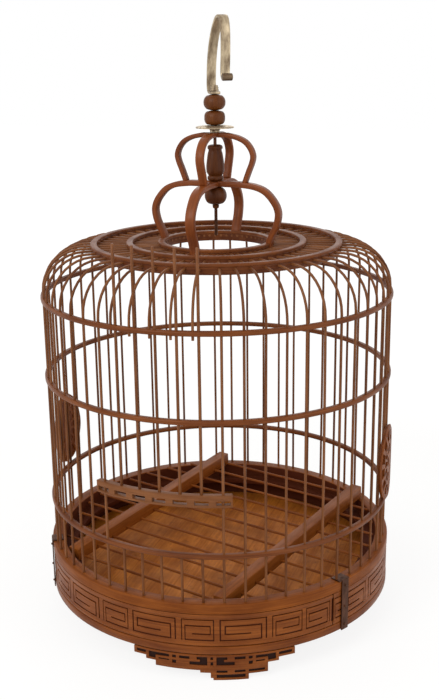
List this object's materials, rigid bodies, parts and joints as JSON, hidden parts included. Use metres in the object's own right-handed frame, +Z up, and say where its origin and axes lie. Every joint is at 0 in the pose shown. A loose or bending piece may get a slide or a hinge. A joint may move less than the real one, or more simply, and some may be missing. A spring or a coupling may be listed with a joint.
{
  "type": "bamboo bird cage",
  "caption": "Round domed cage of bamboo bars and hoops on a base with a drawer tray and fretwork feet, with a lift door, a crown of bent strips and a swivelling carrying hook.",
  "frame": {"origin": "on the cage's axis, on the plane the feet stand on", "axes": "+Z up along the cage's axis, -Y towards the lift door and the drawer's front, +X to the right seen from the front"},
  "size_m": [0.3378, 0.3344, 0.5635],
  "materials": {
    "bar_bamboo": "varnished split bamboo, red-brown",
    "hoop_bamboo": "varnished bent bamboo, red-brown",
    "base_bamboo": "varnished carved bamboo, red-brown",
    "tray_bamboo": "worn bamboo board",
    "bead_wood": "polished dark wood",
    "aged_brass": "dull, tarnished"
  },
  "bodies": {
    "cage": {"sill_hoop": "base_bamboo", "base_hoop": "base_bamboo", "base_wall": "base_bamboo", "metal_band_left": "aged_brass", "metal_band_right": "aged_brass", "fret_foot_1": "base_bamboo", "fret_foot_2": "base_bamboo", "fret_foot_3": "base_bamboo", "tray_runner_left": "tray_bamboo", "tray_runner_right": "tray_bamboo", "floor_rack": "bar_bamboo", "hoop_low": "hoop_bamboo", "hoop_mid": "hoop_bamboo", "hoop_shoulder": "hoop_bamboo", "wall_bars_01": "bar_bamboo", "wall_bars_02": "bar_bamboo", "wall_bars_03": "bar_bamboo", "wall_bars_04": "bar_bamboo", "wall_bars_05": "bar_bamboo", "wall_bars_06": "bar_bamboo", "wall_bars_07": "bar_bamboo", "wall_bars_08": "bar_bamboo", "wall_bars_09": "bar_bamboo", "wall_bars_10": "bar_bamboo", "wall_bars_11": "bar_bamboo", "wall_bars_12": "bar_bamboo", "wall_bars_13": "bar_bamboo", "bars_over_door": "bar_bamboo", "doorstep_bar_1": "bar_bamboo", "doorstep_bar_2": "bar_bamboo", "doorstep_bar_3": "bar_bamboo", "doorstep_bar_4": "bar_bamboo", "doorstep_bar_5": "bar_bamboo", "top_ring_outer": "hoop_bamboo", "top_ring_middle": "hoop_bamboo", "top_ring_inner": "hoop_bamboo", "side_plaque_left": "base_bamboo", "side_plaque_right": "base_bamboo", "crown_arch_side": "hoop_bamboo", "crown_arch_front": "hoop_bamboo", "crown_topknot_side": "hoop_bamboo", "crown_topknot_front": "hoop_bamboo"},
    "door": {"door_rail": "bar_bamboo", "door_bar_1": "bar_bamboo", "door_bar_2": "bar_bamboo", "door_bar_3": "bar_bamboo", "door_bar_4": "bar_bamboo", "door_bar_5": "bar_bamboo"},
    "drawer": {"drawer_front": "base_bamboo", "tray_board": "tray_bamboo"},
    "hanger": {"hook": "aged_brass", "hook_nut": "aged_brass", "hook_rod": "aged_brass", "rod_collar": "aged_brass", "hook_dish": "aged_brass", "top_bead": "bead_wood", "middle_bead": "bead_wood", "crown_spindle": "bead_wood", "lower_bead": "bead_wood"}
  },
  "joints": [
    {"name": "door_lift", "type": "slide", "parent": "cage", "child": "door", "axis": [0, 0, 1], "range_m": [-0.0433, 0.0605]},
    {"name": "drawer_slide", "type": "slide", "parent": "cage", "child": "drawer", "axis": [0, -1, 0], "range_m": [0, 0.2]},
    {"name": "hook_swivel", "type": "hinge", "parent": "cage", "child": "hanger", "pos_m": [0, 0, 0.46], "axis": [0, 0, 1], "continuous": true}
  ]
}
